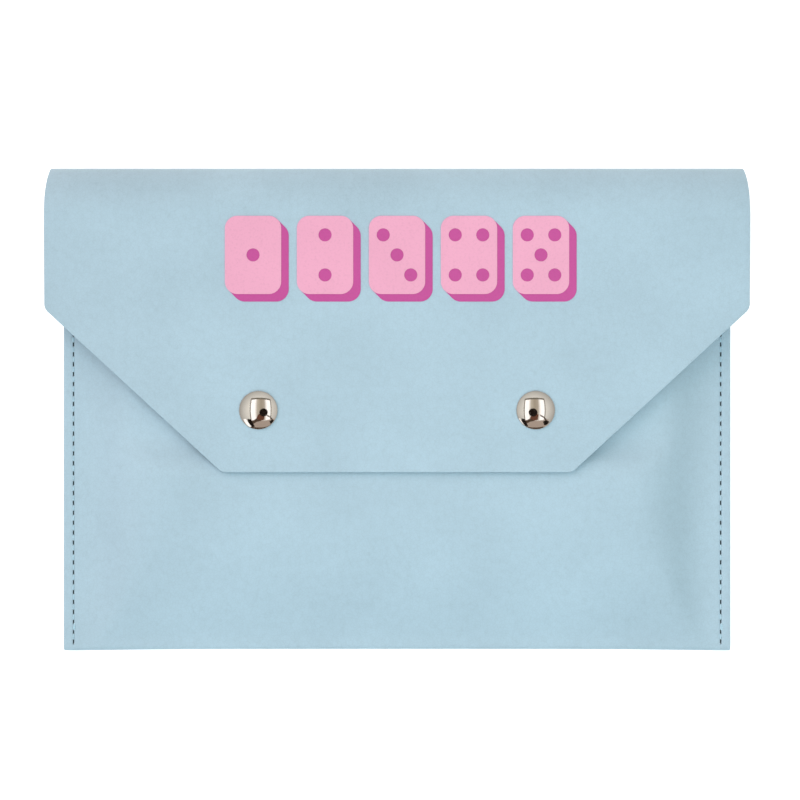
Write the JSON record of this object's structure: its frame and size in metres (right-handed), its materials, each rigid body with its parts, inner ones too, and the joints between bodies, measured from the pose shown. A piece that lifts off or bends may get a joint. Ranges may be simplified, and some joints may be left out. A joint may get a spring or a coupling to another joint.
{
  "type": "mahjong card holder",
  "caption": "Flat envelope pouch for playing or score cards: stitched side seams, folded bottom and a wide flap on a rolled top that snaps shut, with a printed row of plain tiles.",
  "frame": {"origin": "middle of the pouch's back, on the surface that it lies on", "axes": "+X across the pouch, +Y from the bottom fold to the rolled top, +Z from the back to the flap"},
  "size_m": [0.226, 0.1566, 0.0156],
  "materials": {
    "leather": "pale blue coated synthetic leather with a very fine grain and raw cut edges",
    "thread": "pale blue polyester sewing thread",
    "nickel": "polished nickel plate",
    "spring_steel": "bright drawn spring wire",
    "dark_film": "magenta heat-pressed film, satin",
    "pale_film": "pink heat-pressed film, satin"
  },
  "bodies": {
    "pouch": {"back_panel": "leather", "front_panel": "leather", "needle_thread_left": "thread", "needle_thread_right": "thread", "bobbin_thread_left": "thread", "bobbin_thread_right": "thread", "snap_stud_left": "nickel", "snap_stud_right": "nickel", "stud_post_left": "nickel", "stud_post_right": "nickel"},
    "fold_1": {"fold_strip_1": "leather"},
    "fold_2": {"fold_strip_2": "leather"},
    "flap": {"flap_sheet": "leather", "snap_cap_left": "nickel", "snap_cap_right": "nickel", "snap_socket_left": "nickel", "snap_socket_right": "nickel", "socket_spring_left": "spring_steel", "socket_spring_right": "spring_steel", "print_shadow": "dark_film", "print_face": "pale_film"}
  },
  "joints": [
    {"name": "fold_hinge_1", "type": "hinge", "parent": "pouch", "child": "fold_1", "pos_m": [0, 0.07614, 0.00103], "axis": [-1, 0, 0], "range_deg": [0, 66]},
    {"name": "fold_hinge_2", "type": "hinge", "parent": "fold_1", "child": "fold_2", "pos_m": [0, 0.07792, 0.00503], "axis": [-1, 0, 0], "range_deg": [0, 66]},
    {"name": "flap_hinge", "type": "hinge", "parent": "fold_2", "child": "flap", "pos_m": [0, 0.071, 0.01167], "axis": [-1, 0, 0], "range_deg": [0, 44]}
  ],
  "couplings": [
    {"joint": "fold_hinge_1", "follows": "flap_hinge", "ratio": 1.5},
    {"joint": "fold_hinge_2", "follows": "flap_hinge", "ratio": 1.5}
  ]
}
